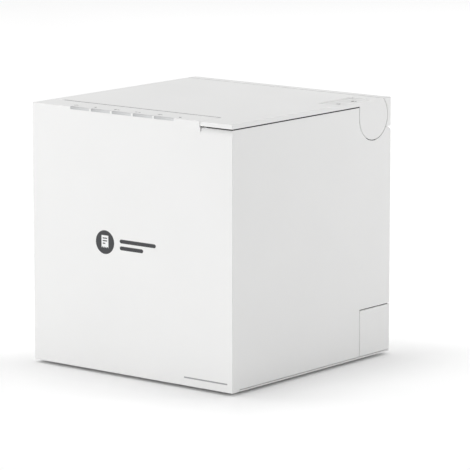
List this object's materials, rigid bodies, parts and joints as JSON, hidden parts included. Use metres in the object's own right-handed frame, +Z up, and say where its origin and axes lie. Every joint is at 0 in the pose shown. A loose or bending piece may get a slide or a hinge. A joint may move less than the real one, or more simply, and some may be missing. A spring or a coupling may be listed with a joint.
{
  "type": "receipt printer",
  "caption": "Cube-shaped white thermal receipt printer with a top paper slot, a hinged roll cover and a rear cable cover.",
  "frame": {"origin": "on the surface that the feet stand on, under the middle of the printer", "axes": "+X to the printer's right, -Y to its front, +Z up"},
  "size_m": [0.127, 0.127, 0.1315],
  "materials": {
    "case_white": "fine matte texture",
    "key_white": "smooth satin",
    "liner_grey": "matte moulded",
    "foot_rubber": "matte",
    "screw_steel": "zinc plated",
    "plated_steel": "galvanised sheet",
    "bright_steel": "ground bright",
    "motor_steel": "plated can",
    "blade_steel": "ground blade steel",
    "black_plastic": "moulded",
    "socket_shield": "tin plated shield",
    "circuit_board": "green solder mask",
    "brass": "plain brass",
    "gear_nylon": "natural acetal",
    "platen_rubber": "ground silicone rubber",
    "heatsink_aluminium": "extruded",
    "head_ceramic": "glazed edge",
    "flat_cable": "thin film",
    "light_guide": "translucent grey",
    "thermal_paper": "smooth coated",
    "core_board": "wound board"
  },
  "bodies": {
    "case": {"outer_case": "case_white", "rear_case": "case_white", "hinge_bar": "case_white", "hinge_brackets": "plated_steel", "base_plate": "case_white", "rubber_feet": "foot_rubber", "base_screws": "screw_steel", "paper_bucket": "liner_grey", "mechanism_frame": "plated_steel", "mechanism_screws": "screw_steel", "head_pivot_pin": "bright_steel", "head_springs": "bright_steel", "head_cable": "flat_cable", "gear_stud": "bright_steel", "feed_motor": "motor_steel", "cutter_frame": "black_plastic", "cutter_motor": "motor_steel", "power_inlet": "black_plastic", "drawer_port": "black_plastic", "usb_port": "socket_shield", "ethernet_port": "socket_shield", "main_board": "circuit_board", "board_standoffs": "brass", "board_screws": "screw_steel", "board_components": "black_plastic", "connector_panel": "plated_steel", "light_guides": "light_guide", "indicator_board": "circuit_board", "paper_sensor": "black_plastic"},
    "lid": {"lid_shell": "case_white", "lid_liner": "liner_grey", "hinge_pins": "bright_steel", "button_board": "circuit_board", "platen_bracket": "plated_steel", "platen_bushes": "gear_nylon", "fixed_blade": "blade_steel"},
    "platen": {"platen_shaft": "bright_steel", "platen_roller": "platen_rubber", "platen_gear": "gear_nylon"},
    "reduction": {"reduction_gear": "gear_nylon"},
    "motor_rotor": {"motor_pinion": "gear_nylon"},
    "roll": {"paper_roll": "thermal_paper", "paper_core": "core_board"},
    "head": {"head_heatsink": "heatsink_aluminium", "thermal_head": "head_ceramic", "head_driver_cover": "black_plastic"},
    "latch": {"latch_hooks": "gear_nylon", "latch_shaft": "bright_steel", "latch_spring": "bright_steel"},
    "cutter_blade": {"moving_blade": "blade_steel"},
    "cutter_drive": {"cutter_pinion": "gear_nylon"},
    "cover": {"cable_cover": "case_white"},
    "power_key": {"power_button": "key_white"},
    "feed_key": {"feed_button": "key_white"}
  },
  "joints": [
    {"name": "lid_hinge", "type": "hinge", "parent": "case", "child": "lid", "pos_m": [0, 0.049, 0.123], "axis": [-1, 0, 0], "range_deg": [0, 88]},
    {"name": "platen_turn", "type": "hinge", "parent": "lid", "child": "platen", "pos_m": [0, -0.0412, 0.112], "axis": [1, 0, 0], "continuous": true},
    {"name": "reduction_turn", "type": "hinge", "parent": "case", "child": "reduction", "pos_m": [0, -0.03955, 0.0985], "axis": [1, 0, 0], "continuous": true},
    {"name": "motor_turn", "type": "hinge", "parent": "case", "child": "motor_rotor", "pos_m": [0, -0.04697, 0.08616], "axis": [1, 0, 0], "continuous": true},
    {"name": "roll_turn", "type": "hinge", "parent": "case", "child": "roll", "pos_m": [0, 0.007, 0.0613], "axis": [1, 0, 0], "continuous": true},
    {"name": "head_rock", "type": "hinge", "parent": "case", "child": "head", "pos_m": [0, -0.0512, 0.0965], "axis": [1, 0, 0], "range_deg": [0, 1], "stiffness_Nm_per_rad": 2, "springref_deg": -2.86},
    {"name": "latch_turn", "type": "hinge", "parent": "case", "child": "latch", "pos_m": [0, -0.033, 0.098], "axis": [-1, 0, 0], "range_deg": [0, 12], "stiffness_Nm_per_rad": 0.1, "springref_deg": -5.73},
    {"name": "blade_slide", "type": "slide", "parent": "case", "child": "cutter_blade", "axis": [0, 1, 0], "range_m": [0, 0.0072]},
    {"name": "cutter_turn", "type": "hinge", "parent": "case", "child": "cutter_drive", "pos_m": [0, -0.0555, 0.116], "axis": [1, 0, 0], "range_deg": [-86, 0]},
    {"name": "cover_slide", "type": "slide", "parent": "case", "child": "cover", "axis": [0, 1, 0], "range_m": [0, 0.024]},
    {"name": "power_press", "type": "slide", "parent": "lid", "child": "power_key", "axis": [0, 0, -1], "range_m": [0, 0.0006], "stiffness_N_per_m": 500, "springref_m": -0.0006},
    {"name": "feed_press", "type": "slide", "parent": "lid", "child": "feed_key", "axis": [0, 0, -1], "range_m": [0, 0.0006], "stiffness_N_per_m": 500, "springref_m": -0.0006}
  ],
  "couplings": [
    {"joint": "reduction_turn", "follows": "platen_turn", "ratio": -1.8333},
    {"joint": "motor_turn", "follows": "platen_turn", "ratio": 3.6667},
    {"joint": "cutter_turn", "follows": "blade_slide", "rad_per_m": -208.33}
  ]
}
